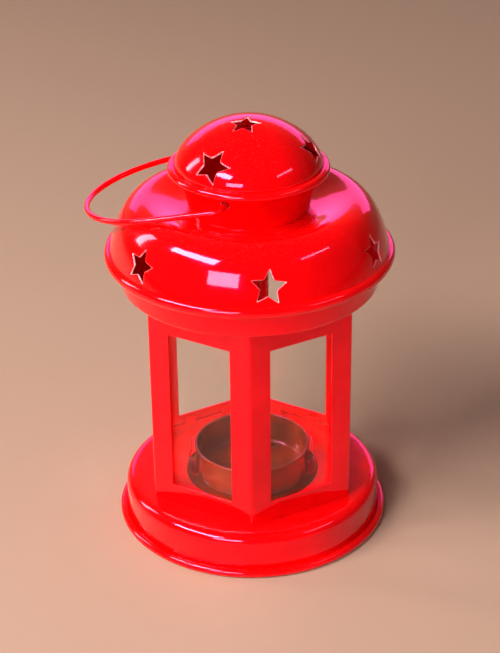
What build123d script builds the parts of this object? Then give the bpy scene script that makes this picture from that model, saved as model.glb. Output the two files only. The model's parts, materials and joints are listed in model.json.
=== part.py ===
from build123d import *
import os
from math import cos, radians, sin, sqrt, tan

# Hexagonal sheet-metal candle lantern: a pressed base dish, a folded six-window body with glass
# panes, a round domed roof with star cut-outs, a neck with a domed cap, a wire bail that swings on
# two holes in the neck, and a candle cup on a tray that pulls down out of the base.
# Millimetres, +Z up. The origin is on the lantern's axis, at the plane that the base stands on.
# One corner of the hexagon faces -Y. Azimuths are degrees from -Y towards +X.

# ---- driving dimensions ------------------------------------------------------------------------
SHEET = 0.6                 # lacquered tin sheet
FIT_GAP = 0.1               # gap between parts that nest within one body

BASE_RADIUS = 50.0          # outside of the rolled foot
FOOT_ROLL_RADIUS = 1.6
FOOT_ROLL_CENTRE_Z = 1.5    # below the roll's radius, so the foot ends in a flat ring
FOOT_ROLL_ARC = (165.0, -300.0)
BASE_WALL_RADIUS = 47.2
BASE_SHOULDER_RADIUS = 3.6
FLOOR_Z = 15.9              # top of the base dish, which is the lantern's floor
FLOOR_HOLE_RADIUS = 24.4    # the candle tray passes through here

HEX_CORNER_RADIUS = 41.04   # body, over its corners
BODY_TOP_Z = 95.9
WINDOW_HALF_WIDTH = 12.4
WINDOW_BOTTOM_Z = 24.1
WINDOW_TOP_Z = 85.5
CORNERS = 6

PANE_WIDTH = 32.4
PANE_THICKNESS = 1.5
PANE_MARGIN = 3.6           # how far a pane runs above and below its window
PANE_BOTTOM_Z = WINDOW_BOTTOM_Z - PANE_MARGIN
PANE_TOP_Z = WINDOW_TOP_Z + PANE_MARGIN

TAB_WIDTH = 8.0             # tabs that lock the body to the base and to the roof skirt
TAB_LENGTH = 4.0
SLOT_SIDE_GAP = 0.3         # round a tab in its slot
SLOT_FACE_GAP = 0.2
PANE_TAB_NEAR = 6.0         # tabs that hold a pane, measured along the wall from its middle
PANE_TAB_FAR = 10.0
PANE_TAB_GRIP = 2.4         # how far a pane tab laps over the glass
SEAM_WALL = 2               # the strip's ends lap inside this wall's right corner
SEAM_CORNER_GAP = 1.2
SEAM_END_GAP = 1.0

SKIRT_FLOOR_Z = 95.3
SKIRT_BOTTOM_RADIUS = 45.8
SKIRT_TOP_RADIUS = 47.2
SKIRT_CORNER_RADIUS = 1.8
SKIRT_LIP_WIDTH = 1.3           # turned out under the roof's rim
SKIRT_LIP_DROP = 0.2            # lip's underside, below the middle of the roof's roll
SKIRT_HOLE_GAP = 0.15           # round the body's corners
SKIRT_TURNED_FROM = 20.0        # the skirt is turned from this radius before its hole is cut

ROOF_ROLL_RADIUS = 2.2
ROOF_ROLL_CENTRE = (49.1, 106.8)
ROOF_ROLL_ARC = (100.0, -240.0)     # where a roll starts, and how far it curls, in degrees
ROOF_SPRING = (49.3, 108.9)     # where the dome rises out of the rolled rim
ROOF_HANDLES = ((42.2, 137.4), (30.9, 123.7))
NECK_FOOT = (21.2, 123.7)       # where the dome meets the neck

NECK_TOP_Z = 138.3
NECK_BOTTOM_RADIUS = 20.9
NECK_TOP_RADIUS = 24.5
NECK_FLANGE_RADIUS = 24.4
NECK_FLANGE_GAP = 0.3           # under the dome's sheet

CAP_ROLL_RADIUS = 1.6
CAP_ROLL_CENTRE = (26.6, 137.9)
CAP_ROLL_ARC = (150.0, -290.0)
CAP_SPRING = (25.7, 139.1)
CAP_HANDLES = ((25.8, 145.7), (13.5, 155.8))
CAP_APEX_Z = 155.8
CAP_CURVE_END = 0.15        # the cap's curve stops this far from the axis, inside the top star

STAR_WAIST = 0.48               # inner radius over outer radius
STAR_REACH = 4.0                # how far a star's cut runs to each side of the sheet
ROOF_STAR_RADIUS = 6.0
ROOF_STAR_PLACE = 0.16          # how far up the dome's curve the stars sit, as a share of its length
ROOF_STAR_AZIMUTHS = (-50.5, 8.0, 64.6, 126.0, 187.0, 248.0)
ROOF_STAR_TWIST = 6.0
CAP_STAR_RADIUS = 6.3
CAP_STAR_PLACE = 0.24
CAP_STAR_AZIMUTHS = (-33.1, 80.1, 206.0)
CAP_STAR_TWIST = 14.0
TOP_STAR_RADIUS = 5.4
TOP_STAR_CENTRE = (-1.1, -4.0)
TOP_STAR_TWIST = 9.5

BAIL_AZIMUTH = -19.75           # the front pivot hole
BAIL_PIVOT_Z = 133.2
BAIL_WIRE_RADIUS = 1.05
BAIL_HOLE_RADIUS = 1.5
BAIL_CROWN_RADIUS = 32.0
BAIL_CROWN_REACH = 28.4         # crown's centre, out from the pivot axis
BAIL_LEG_SPLAY = 6.0            # degrees
BAIL_BEND_RADIUS = 2.2
BAIL_HEAD_RADIUS = 2.0
BAIL_HEAD_REACH = 20.2
BAIL_REST_DROP = 12.8           # degrees below level, lying on the roof

CUP_SHEET = 0.5
CUP_INNER_RADIUS = 19.9
CUP_FLOOR_Z = 15.9
CUP_RIM_Z = 27.3
CUP_RIM_ROLL = 0.55
CUP_RIM_OFFSET = 0.2        # roll's inner side, inside the cup wall's outer face
CUP_BEND_RADIUS = 1.2
CLIP_THICKNESS = 0.4
CLIP_WIDTH = 9.0
CLIP_BOW_REACH = 23.3
CLIP_BOW_Z = 20.5
CLIP_FOOT_FROM = 13.5       # the flat foot, under the cup, from here
CLIP_FOOT_TO = 20.3         # to here
CLIP_RISE = (1.0, 1.2)      # the bow's first point, from the end of the foot
CLIP_TIP_REACH = 22.0
CLIP_TIP_DROP = 1.0         # tip, below the cup's rim
TRAY_RADIUS = 27.5
TRAY_TOP_Z = 15.0
TRAY_LIP_Z = 11.2
TRAY_BEND_RADIUS = 1.6

OUTLINE_STEPS = 12          # points along a turned sheet's inner face
CLIP_STEPS = 16             # points along a clip's bow

HEX_FLAT = HEX_CORNER_RADIUS * sqrt(3) / 2     # axis to the outside of a wall
WALL_INNER = -HEX_FLAT + SHEET                 # inside of the wall that faces -Y
CUT_REACH = 60.0            # longer than anything that a cutter goes through

os.makedirs("parts", exist_ok=True)


# ---- helpers -----------------------------------------------------------------------------------
def save(name, shape):
    shape.label = name
    export_step(shape, "parts/" + name + ".step")


def on_wall(shape, wall):
    """Turn a shape made for a wall that faces -Y to wall number 0..5."""
    return Rot(0, 0, 30 + wall * 360 / CORNERS) * shape


def block(x_range, y_range, z_range):
    size = [high - low for low, high in (x_range, y_range, z_range)]
    middle = [(high + low) / 2 for low, high in (x_range, y_range, z_range)]
    return Pos(*middle) * Box(*size)


def turned(profile_edges):
    """Revolve a closed outline in the XZ plane about the lantern's axis."""
    face = make_face(profile_edges)
    return revolve(face, Axis.Z, 360)


def section_point(pair):
    return (pair[0], 0, pair[1])


def sheet_outline(curve):
    """The closed outline of a sheet inside a curve that rises towards the axis in the XZ plane."""
    inner_points = []
    for step in range(OUTLINE_STEPS + 1):
        place = step / OUTLINE_STEPS
        along = curve % place
        inner_points.append(curve @ place + Vector(-along.Z, 0, along.X) * SHEET)
    inner = Spline(*inner_points, tangents=[curve % 0, curve % 1])
    return [curve, inner, Line(curve @ 0, inner @ 0), Line(curve @ 1, inner @ 1)]


def rolled_edge(centre, radius, arc):
    """A curl of sheet: part of a ring's section, turned about the axis."""
    outer = Plane.XZ * CenterArc((centre[0], centre[1], 0), radius, arc[0], arc[1])
    inner = Plane.XZ * CenterArc((centre[0], centre[1], 0), radius - SHEET, arc[0], arc[1])
    return turned([outer, inner, Line(outer @ 0, inner @ 0), Line(outer @ 1, inner @ 1)])


def star_cutter(radius, twist):
    """A five-pointed prism about the local Z axis, with one point up when twist is 0."""
    corners = []
    for index in range(10):
        reach = radius if index % 2 == 0 else radius * STAR_WAIST
        angle = radians(90 - twist + index * 36)
        corners.append((reach * cos(angle), reach * sin(angle)))
    return extrude(make_face(Polyline(*corners, close=True)), STAR_REACH, both=True)


def star_on(curve, place, radius, twist, azimuth):
    """A star cutter set square to a turned surface, at a place along its section curve."""
    point = curve @ place
    along = curve % place
    seat = Plane(origin=(0, -point.X, point.Z), x_dir=(1, 0, 0), z_dir=(0, -along.Z, -along.X))
    return Rot(0, 0, azimuth) * (seat * star_cutter(radius, twist))


# ---- base dish: rolled foot, upright wall, rounded shoulder, flat floor with the tray's hole -----
def make_base_dish():
    roll_centre = (BASE_RADIUS - FOOT_ROLL_RADIUS, FOOT_ROLL_CENTRE_Z)
    shoulder_x = BASE_WALL_RADIUS - BASE_SHOULDER_RADIUS
    shoulder_z = FLOOR_Z - BASE_SHOULDER_RADIUS
    wall_foot_z = FOOT_ROLL_CENTRE_Z + FOOT_ROLL_RADIUS / 3
    outer = [
        Line(section_point((FLOOR_HOLE_RADIUS, FLOOR_Z)), section_point((shoulder_x, FLOOR_Z))),
        Plane.XZ * CenterArc((shoulder_x, shoulder_z, 0), BASE_SHOULDER_RADIUS, 90, -90),
        Line(
            section_point((BASE_WALL_RADIUS, shoulder_z)),
            section_point((BASE_WALL_RADIUS, wall_foot_z)),
        ),
    ]
    inner = [
        Line(
            section_point((FLOOR_HOLE_RADIUS, FLOOR_Z - SHEET)),
            section_point((shoulder_x, FLOOR_Z - SHEET)),
        ),
        Plane.XZ * CenterArc((shoulder_x, shoulder_z, 0), BASE_SHOULDER_RADIUS - SHEET, 90, -90),
        Line(
            section_point((BASE_WALL_RADIUS - SHEET, shoulder_z)),
            section_point((BASE_WALL_RADIUS - SHEET, wall_foot_z)),
        ),
    ]
    ends = [Line(outer[0] @ 0, inner[0] @ 0), Line(outer[2] @ 1, inner[2] @ 1)]
    dish = turned(outer + inner + ends) + rolled_edge(roll_centre, FOOT_ROLL_RADIUS, FOOT_ROLL_ARC)
    dish -= block((-BASE_RADIUS, BASE_RADIUS), (-BASE_RADIUS, BASE_RADIUS), (-1, 0))
    for wall in range(CORNERS):
        slot = block(
            (-TAB_WIDTH / 2 - SLOT_SIDE_GAP, TAB_WIDTH / 2 + SLOT_SIDE_GAP),
            (-HEX_FLAT - SLOT_FACE_GAP, WALL_INNER + SLOT_FACE_GAP),
            (FLOOR_Z - 2 * SHEET, FLOOR_Z + SHEET),
        )
        dish -= on_wall(slot, wall)
    return dish


# ---- body: one folded strip with six windows, tabs and a lap seam --------------------------------
def wall_tabs():
    """For the wall that faces -Y: a foot tab, a head tab and four pane tabs."""
    half = TAB_WIDTH / 2
    under_floor = FLOOR_Z - SHEET - FIT_GAP
    over_skirt = SKIRT_FLOOR_Z + SHEET + FIT_GAP
    tabs = block((-half, half), (-HEX_FLAT, WALL_INNER), (under_floor - SHEET, FLOOR_Z))
    tabs += block((-half, half), (-HEX_FLAT, -HEX_FLAT + TAB_LENGTH), (under_floor - SHEET, under_floor))
    tabs += block((-half, half), (-HEX_FLAT, WALL_INNER), (BODY_TOP_Z, over_skirt + SHEET))
    tabs += block((-half, half), (-HEX_FLAT - TAB_LENGTH, WALL_INNER), (over_skirt, over_skirt + SHEET))
    lip_inner = WALL_INNER + FIT_GAP + PANE_THICKNESS + FIT_GAP
    for side in (-1, 1):
        x_range = sorted((side * PANE_TAB_NEAR, side * PANE_TAB_FAR))
        for edge_z, into in ((PANE_BOTTOM_Z, 1), (PANE_TOP_Z, -1)):
            shelf = sorted((edge_z - into * FIT_GAP, edge_z - into * (FIT_GAP + SHEET)))
            lip = sorted((edge_z - into * (FIT_GAP + SHEET), edge_z + into * PANE_TAB_GRIP))
            tabs += block(x_range, (WALL_INNER, lip_inner + SHEET), shelf)
            tabs += block(x_range, (lip_inner, lip_inner + SHEET), lip)
    return tabs


def make_body_frame():
    height = BODY_TOP_Z - FLOOR_Z
    inner_corner = HEX_CORNER_RADIUS - SHEET * 2 / sqrt(3)
    outside = extrude(RegularPolygon(HEX_CORNER_RADIUS, CORNERS, rotation=90), height)
    inside = extrude(RegularPolygon(inner_corner, CORNERS, rotation=90), height)
    frame = Pos(0, 0, FLOOR_Z) * (outside - inside)
    window = block(
        (-WINDOW_HALF_WIDTH, WINDOW_HALF_WIDTH),
        (-HEX_FLAT - SHEET, WALL_INNER + SHEET),
        (WINDOW_BOTTOM_Z, WINDOW_TOP_Z),
    )
    for wall in range(CORNERS):
        frame -= on_wall(window, wall)
        frame += on_wall(wall_tabs(), wall)
    lap = block(
        (PANE_WIDTH / 2 + SLOT_SIDE_GAP, HEX_CORNER_RADIUS / 2 - SEAM_CORNER_GAP),
        (WALL_INNER, WALL_INNER + SHEET),
        (FLOOR_Z + SEAM_END_GAP, BODY_TOP_Z),
    )
    return frame + on_wall(lap, SEAM_WALL)


def make_pane():
    outer_face = WALL_INNER + FIT_GAP
    return block(
        (-PANE_WIDTH / 2, PANE_WIDTH / 2),
        (outer_face, outer_face + PANE_THICKNESS),
        (PANE_BOTTOM_Z, PANE_TOP_Z),
    )


# ---- roof skirt: a shallow round pan with a hexagonal hole for the body --------------------------
def make_roof_skirt():
    lip_z = ROOF_ROLL_CENTRE[1] - SKIRT_LIP_DROP
    bend_x = SKIRT_BOTTOM_RADIUS - SKIRT_CORNER_RADIUS
    bend_z = SKIRT_FLOOR_Z + SKIRT_CORNER_RADIUS
    lip = [
        (SKIRT_BOTTOM_RADIUS, bend_z),
        (SKIRT_TOP_RADIUS, lip_z),
        (SKIRT_TOP_RADIUS + SKIRT_LIP_WIDTH, lip_z),
        (SKIRT_TOP_RADIUS + SKIRT_LIP_WIDTH, lip_z + SHEET),
        (SKIRT_TOP_RADIUS - SHEET, lip_z + SHEET),
        (SKIRT_BOTTOM_RADIUS - SHEET, bend_z),
    ]
    floor = [
        (bend_x, SKIRT_FLOOR_Z + SHEET),
        (SKIRT_TURNED_FROM, SKIRT_FLOOR_Z + SHEET),
        (SKIRT_TURNED_FROM, SKIRT_FLOOR_Z),
        (bend_x, SKIRT_FLOOR_Z),
    ]
    outline = [
        *Polyline(*[section_point(pair) for pair in lip]).edges(),
        *Polyline(*[section_point(pair) for pair in floor]).edges(),
        Plane.XZ * CenterArc((bend_x, bend_z, 0), SKIRT_CORNER_RADIUS, -90, 90),
        Plane.XZ * CenterArc((bend_x, bend_z, 0), SKIRT_CORNER_RADIUS - SHEET, 0, -90),
    ]
    body_outline = RegularPolygon(HEX_CORNER_RADIUS + SKIRT_HOLE_GAP, CORNERS, rotation=90)
    body_hole = Pos(0, 0, SKIRT_FLOOR_Z) * extrude(body_outline, 2 * SHEET, both=True)
    return turned(outline) - body_hole


# ---- roof dome: rolled rim, bulging top, six stars -----------------------------------------------
def roof_curve():
    return Bezier(*[section_point(pair) for pair in (ROOF_SPRING, *ROOF_HANDLES, NECK_FOOT)])


def make_roof_dome():
    curve = roof_curve()
    dome = turned(sheet_outline(curve))
    dome += rolled_edge(ROOF_ROLL_CENTRE, ROOF_ROLL_RADIUS, ROOF_ROLL_ARC)
    for azimuth in ROOF_STAR_AZIMUTHS:
        dome -= star_on(curve, ROOF_STAR_PLACE, ROOF_STAR_RADIUS, ROOF_STAR_TWIST, azimuth)
    return dome


# ---- neck collar: a cone with a flange under the dome and two holes for the bail -----------------
def make_neck_collar():
    flange_top = NECK_FOOT[1] - SHEET - NECK_FLANGE_GAP
    corners = [
        (NECK_BOTTOM_RADIUS, flange_top),
        (NECK_TOP_RADIUS, NECK_TOP_Z),
        (NECK_TOP_RADIUS - SHEET, NECK_TOP_Z),
        (NECK_BOTTOM_RADIUS - SHEET, flange_top - SHEET),
        (NECK_FLANGE_RADIUS, flange_top - SHEET),
        (NECK_FLANGE_RADIUS, flange_top),
    ]
    collar = turned(Polyline(*[section_point(pair) for pair in corners], close=True).edges())
    hole = Pos(0, 0, BAIL_PIVOT_Z) * Rot(90, 0, 0) * Cylinder(BAIL_HOLE_RADIUS, CUT_REACH)
    return collar - Rot(0, 0, BAIL_AZIMUTH) * hole


# ---- top cap: rolled rim, dome, three stars round the side and one near the top ------------------
def cap_curve():
    end = (CAP_CURVE_END, CAP_APEX_Z)
    return Bezier(*[section_point(pair) for pair in (CAP_SPRING, *CAP_HANDLES, end)])


def make_top_cap():
    curve = cap_curve()
    cap = turned(sheet_outline(curve))
    cap += rolled_edge(CAP_ROLL_CENTRE, CAP_ROLL_RADIUS, CAP_ROLL_ARC)
    for azimuth in CAP_STAR_AZIMUTHS:
        cap -= star_on(curve, CAP_STAR_PLACE, CAP_STAR_RADIUS, CAP_STAR_TWIST, azimuth)
    return cap - Pos(*TOP_STAR_CENTRE, CAP_APEX_Z) * star_cutter(TOP_STAR_RADIUS, TOP_STAR_TWIST)


# ---- bail: one bent wire with upset ends inside the neck, lying on the roof to the left ----------
def bail_half_points():
    """Corner where the stub meets the leg, and where the leg runs into the crown."""
    splay = radians(BAIL_LEG_SPLAY)
    crown_x = BAIL_CROWN_RADIUS * cos(splay)
    crown_y = BAIL_CROWN_REACH - BAIL_CROWN_RADIUS * sin(splay)
    corner_x = crown_x - crown_y * tan(splay)
    return corner_x, crown_x, crown_y


def make_bail():
    corner_x, crown_x, crown_y = bail_half_points()
    crown_top = (0, BAIL_CROWN_REACH + BAIL_CROWN_RADIUS)
    leg = [(BAIL_HEAD_REACH, 0), (corner_x, 0), (crown_x, crown_y)]
    half = FilletPolyline(*leg, radius=BAIL_BEND_RADIUS)
    other = FilletPolyline(*[(-x, y) for x, y in leg], radius=BAIL_BEND_RADIUS)
    crown = ThreePointArc((crown_x, crown_y), crown_top, (-crown_x, crown_y))
    path = Wire(half.edges() + [crown] + other.edges())
    section = Plane(origin=(BAIL_HEAD_REACH, 0, 0), z_dir=(1, 0, 0)) * Circle(BAIL_WIRE_RADIUS)
    wire = sweep(section, path=path)
    for side in (-1, 1):
        wire += Pos(side * BAIL_HEAD_REACH, 0, 0) * Sphere(BAIL_HEAD_RADIUS)
    # local X becomes the pivot axis, local Y points out to the left and down onto the roof
    seat = Plane(
        origin=(0, 0, BAIL_PIVOT_Z),
        x_dir=(sin(radians(BAIL_AZIMUTH)), -cos(radians(BAIL_AZIMUTH)), 0),
        z_dir=bail_normal(),
    )
    return seat * wire


def bail_normal():
    azimuth = radians(BAIL_AZIMUTH)
    drop = radians(BAIL_REST_DROP)
    pivot = Vector(sin(azimuth), -cos(azimuth), 0)
    outward = Vector(-cos(azimuth), -sin(azimuth), 0) * cos(drop) - Vector(0, 0, 1) * sin(drop)
    return pivot.cross(outward)


# ---- candle carrier: tray plate, cup and two bow clips -------------------------------------------
def make_candle_cup():
    outer = CUP_INNER_RADIUS + CUP_SHEET
    under = CUP_FLOOR_Z - CUP_SHEET
    bend_x = outer - CUP_BEND_RADIUS
    bend_z = under + CUP_BEND_RADIUS
    roll_x = CUP_INNER_RADIUS + CUP_RIM_OFFSET + CUP_RIM_ROLL
    roll_z = CUP_RIM_Z - CUP_RIM_ROLL
    wall = [(outer, bend_z), (outer, roll_z), (CUP_INNER_RADIUS, roll_z), (CUP_INNER_RADIUS, bend_z)]
    floor = [(bend_x, CUP_FLOOR_Z), (0, CUP_FLOOR_Z), (0, under), (bend_x, under)]
    outline = [
        *Polyline(*[section_point(pair) for pair in wall]).edges(),
        *Polyline(*[section_point(pair) for pair in floor]).edges(),
        Plane.XZ * CenterArc((bend_x, bend_z, 0), CUP_BEND_RADIUS, -90, 90),
        Plane.XZ * CenterArc((bend_x, bend_z, 0), CUP_BEND_RADIUS - CUP_SHEET, 0, -90),
    ]
    ring = Plane.XZ * (Pos(roll_x, roll_z) * Circle(CUP_RIM_ROLL))
    return turned(outline) + revolve(ring, Axis.Z, 360)


def make_spring_clip():
    """The clip on the +X side: a flat foot under the cup, then a bow beside the cup's wall."""
    foot_z = TRAY_TOP_Z + CLIP_THICKNESS / 2
    foot = Line((CLIP_FOOT_FROM, 0, foot_z), (CLIP_FOOT_TO, 0, foot_z))
    bow = Spline(
        foot @ 1,
        (CLIP_FOOT_TO + CLIP_RISE[0], 0, foot_z + CLIP_RISE[1]),
        (CLIP_BOW_REACH, 0, CLIP_BOW_Z),
        (CLIP_TIP_REACH, 0, CUP_RIM_Z - CLIP_TIP_DROP),
        tangents=[(1, 0, 0), (-0.1, 0, 1)],
    )
    places = [step / CLIP_STEPS for step in range(1, CLIP_STEPS + 1)]
    centre = [foot @ 0, foot @ 1] + [bow @ place for place in places]
    directions = [foot % 0, foot % 1] + [bow % place for place in places]
    half = CLIP_THICKNESS / 2
    inner = [point + Vector(-along.Z, 0, along.X) * half for point, along in zip(centre, directions)]
    outer = [point - Vector(-along.Z, 0, along.X) * half for point, along in zip(centre, directions)]
    outline = [Line(inner[0], inner[1]), Spline(*inner[1:]), Line(inner[-1], outer[-1])]
    outline += [Spline(*outer[1:]), Line(outer[1], outer[0]), Line(outer[0], inner[0])]
    return extrude(make_face(outline), CLIP_WIDTH / 2, both=True)


def make_tray_plate():
    bend_x = TRAY_RADIUS - TRAY_BEND_RADIUS
    bend_z = TRAY_TOP_Z - TRAY_BEND_RADIUS
    inner = TRAY_RADIUS - SHEET
    lip = [(TRAY_RADIUS, bend_z), (TRAY_RADIUS, TRAY_LIP_Z), (inner, TRAY_LIP_Z), (inner, bend_z)]
    under = TRAY_TOP_Z - SHEET
    plate = [(bend_x, under), (0, under), (0, TRAY_TOP_Z), (bend_x, TRAY_TOP_Z)]
    outline = [
        *Polyline(*[section_point(pair) for pair in lip]).edges(),
        *Polyline(*[section_point(pair) for pair in plate]).edges(),
        Plane.XZ * CenterArc((bend_x, bend_z, 0), TRAY_BEND_RADIUS, 90, -90),
        Plane.XZ * CenterArc((bend_x, bend_z, 0), TRAY_BEND_RADIUS - SHEET, 0, 90),
    ]
    return turned(outline)


save("base_dish", make_base_dish())
save("body_frame", make_body_frame())
for wall_index in range(CORNERS):
    save("glass_pane_" + str(wall_index + 1), on_wall(make_pane(), wall_index))
save("roof_skirt", make_roof_skirt())
save("roof_dome", make_roof_dome())
save("neck_collar", make_neck_collar())
save("top_cap", make_top_cap())
save("bail_handle", make_bail())
save("tray_plate", make_tray_plate())
save("candle_cup", make_candle_cup())
save("spring_clip_right", make_spring_clip())
save("spring_clip_left", Rot(0, 0, 180) * make_spring_clip())
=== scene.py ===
"""Looks for the hexagonal sheet-metal candle lantern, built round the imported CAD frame.

Metres, +Z up, in the row frame. Shapes are worked out in millimetres and scaled once, in piece().
"""

import json
import math

import bmesh
import bpy
import numpy as np
from mathutils import Matrix, Vector
from mathutils.geometry import delaunay_2d_cdt


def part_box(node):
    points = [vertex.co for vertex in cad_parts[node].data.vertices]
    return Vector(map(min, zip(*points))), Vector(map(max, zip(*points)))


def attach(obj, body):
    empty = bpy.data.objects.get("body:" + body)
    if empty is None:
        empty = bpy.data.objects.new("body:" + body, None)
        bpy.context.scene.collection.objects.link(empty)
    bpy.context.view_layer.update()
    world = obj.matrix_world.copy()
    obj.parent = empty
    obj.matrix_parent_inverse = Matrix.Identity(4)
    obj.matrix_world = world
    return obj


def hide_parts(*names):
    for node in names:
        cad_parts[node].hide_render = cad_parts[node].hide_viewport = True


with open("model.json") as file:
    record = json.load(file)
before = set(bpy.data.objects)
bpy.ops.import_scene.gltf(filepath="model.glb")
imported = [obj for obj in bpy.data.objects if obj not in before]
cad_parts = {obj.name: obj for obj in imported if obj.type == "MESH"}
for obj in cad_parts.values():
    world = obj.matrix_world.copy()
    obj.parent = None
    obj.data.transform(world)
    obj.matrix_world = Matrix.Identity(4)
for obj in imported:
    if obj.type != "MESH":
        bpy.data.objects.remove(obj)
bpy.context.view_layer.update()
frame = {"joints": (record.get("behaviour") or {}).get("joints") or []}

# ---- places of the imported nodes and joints, in millimetres ---------------------------------------
MM = 0.001


def low(node, axis):
    return round(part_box(node)[0][axis] / MM, 2)


def high(node, axis):
    return round(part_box(node)[1][axis] / MM, 2)


X, Y, Z = 0, 1, 2
FLOOR_Z = high("base_dish", Z)
PANE_Z = (low("glass_pane_1", Z), high("glass_pane_1", Z))
SKIRT_FLOOR_Z = low("roof_skirt", Z)
NECK_TOP_Z = high("neck_collar", Z)
CUP_SHEET = 0.5
CUP_Z = (low("candle_cup", Z) + CUP_SHEET, high("candle_cup", Z))
TRAY_RADIUS = high("tray_plate", X)
TRAY_Z = (high("tray_plate", Z), low("tray_plate", Z))
bail_joint = next(joint for joint in frame["joints"] if joint["name"] == "bail_swing")
BAIL_PIVOT_Z = bail_joint["pos_m"][Z] / MM
BAIL_AZIMUTH = math.atan2(-bail_joint["axis"][X], bail_joint["axis"][Y])

# ---- driving dimensions, in millimetres ----------------------------------------------------------
SHEET = 0.6
AXIS_GAP = 0.02             # how far from the axis a turned sheet ends
AZIMUTHS = np.linspace(0, 360, 288, endpoint=False)     # the facets round a turned sheet
ROUND_STEPS = 7             # facets across a rounded edge
LACQUERED_STEPS = 3         # facets of them that keep their full lacquer colour; the rest are pale, thin lacquer with a painted highlight
HOLE_CLEAR = 0.35           # grid points nearer to a hole than this are left out
PATCH_MARGIN = (0.4, 0.3)   # least room beside a hole in its patch, along u and v

FOOT_ROLL = (48.4, 1.5, 1.6)            # centre radius, centre height, roll radius
FOOT_CURL = (165, -300)                 # where the roll starts and how far it turns, in degrees
BASE_WALL_RADIUS = 47.2
BASE_SHOULDER = 3.6
FLOOR_HOLE_RADIUS = 24.4

HEX_CORNER = 41.04
HEX_FLAT = HEX_CORNER * math.sqrt(3) / 2
HEX_BEND = 1.3
BODY_TOP_Z = 95.9
WINDOW_HALF_WIDTH = 12.4
WINDOW_Z = (24.1, 85.5)
WINDOW_CORNER = 0.35
WINDOW_LIP = 0.22
PANE_HALF_WIDTH = 16.2
PANE_THICKNESS = 1.5
PANE_EDGE = 0.25            # how much is ground off its edges
PANE_CORNER = 0.6           # and off its corners
FIT_GAP = 0.1
TAB_WIDTH = 8.0             # tabs that lock the body to the base and the skirt
TAB_LENGTH = 4.0
TAB_BEND = 0.45
TAB_ROOT = 0.4              # how far a tab's root laps the wall
TAB_SHEET = SHEET - 0.02
PANE_TAB_WIDTH = 4.0
PANE_TAB_PLACE = 8.0        # along the wall, to each side of its middle
PANE_TAB_GRIP = 2.4
SEAM_WALL = 2
SEAM_WIDTH = 2.8
SEAM_REACH = (PANE_HALF_WIDTH + 0.3, HEX_CORNER / 2 - 1.2)      # between a pane and the fold

SKIRT_BOTTOM_RADIUS = 45.8
SKIRT_TOP_RADIUS = 47.2
SKIRT_BEND = 1.8
SKIRT_LIP = (1.3, 106.6)                # width, height
SKIRT_LIP_BEND = 0.4
SKIRT_ROUND_FLOOR = 3.5                 # width of the floor's round part
SKIRT_HOLE_CORNER = 41.19

ROOF_ROLL = (49.1, 106.8, 2.2)
ROOF_CURL = (100, -240)
ROOF_CURVE = ((49.3, 108.9), (42.2, 137.4), (30.9, 123.7), (21.2, 123.7))
ROOF_STARS = (-50.5, 8.0, 64.6, 126.0, 187.0, 248.0)
NECK_PATH = ((24.4, 122.8), (20.9, 122.8), (24.5, NECK_TOP_Z))
NECK_BEND = 0.7
EYE_LIP = 0.25
CAP_ROLL = (26.6, 137.9, 1.6)
CAP_CURL = (150, -290)
CAP_CURVE = ((25.7, 139.1), (25.8, 145.7), (13.5, 155.8), (0.15, 155.8))
CAP_STARS = (-33.1, 80.1, 206.0)
TOP_STAR_CENTRE = (-1.1, -4.0)
CROWN_PATCH_RADIUS = 12.5               # the cap inside this radius is laid out flat
CROWN_RINGS = 13
ROOF_STAR_PLACE = 0.16                  # how far up each curve the side stars sit
CAP_STAR_PLACE = 0.24
STAR_WAIST = 0.48
STAR_SOFT = 0.10                        # share of each side taken up by a rounded point
STAR_LIP = 0.45
ROOF_STAR = (6.0, 6.0)                  # radius, twist in degrees
CAP_STAR = (6.3, 14.0)
TOP_STAR = (5.4, 9.5)

BAIL_HOLE = 1.5
BAIL_DROP = math.radians(12.8)
BAIL_WIRE = 1.05
BAIL_CROWN = (32.0, 28.4)               # radius, how far out its centre is
BAIL_SPLAY = math.radians(6)
BAIL_BEND = 2.2
BAIL_HEAD = (20.2, 2.0)                 # reach, radius

TRAY_BEND = 1.6
CUP_RADIUS = 19.9
CUP_BEND = 1.2
CUP_ROLL = (20.65, 26.75, 0.55)
CLIP_THICKNESS = 0.4
CLIP_WIDTH = 9.0
CLIP_TOE = (13.5, 15.5, 17.5, 19.5)     # radii along its flat foot
CLIP_TOP = (22.0, 26.3)                 # radius, height


# ---- mesh building -------------------------------------------------------------------------------
class Shell:
    """Points and faces of one piece, in millimetres."""

    def __init__(self):
        self.points = []
        self.faces = []
        self.edge_faces = []        # faces of punched edges, pale: thin lacquer with a painted highlight

    def put(self, point):
        self.points.append(tuple(point))
        return len(self.points) - 1

    def ring(self, points):
        return [self.put(point) for point in points]

    def strip(self, first, second, closed=True):
        """Faces between two rows of points."""
        count = len(first)
        for k in range(count if closed else count - 1):
            n = (k + 1) % count
            self.faces.append((first[k], first[n], second[n], second[k]))

    def add(self, other):
        """Take in another shell."""
        start = len(self.points)
        self.edge_faces += [len(self.faces) + index for index in other.edge_faces]
        self.points += other.points
        self.faces += [tuple(i + start for i in face) for face in other.faces]
        return self

    def moved(self, matrix):
        self.points = [tuple(matrix @ Vector(point)) for point in self.points]
        return self


def bezier(handles, steps=600):
    t = np.linspace(0, 1, steps + 1)[:, None]
    a, b, c, d = (np.array(handle, float) for handle in handles)
    return a * (1 - t) ** 3 + 3 * b * t * (1 - t) ** 2 + 3 * c * t * t * (1 - t) + d * t ** 3


def arc(centre, radius, start, sweep, steps):
    angles = np.radians(start + sweep * np.linspace(0, 1, steps + 1))
    return np.column_stack([centre[0] + radius * np.cos(angles), centre[1] + radius * np.sin(angles)])


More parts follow.
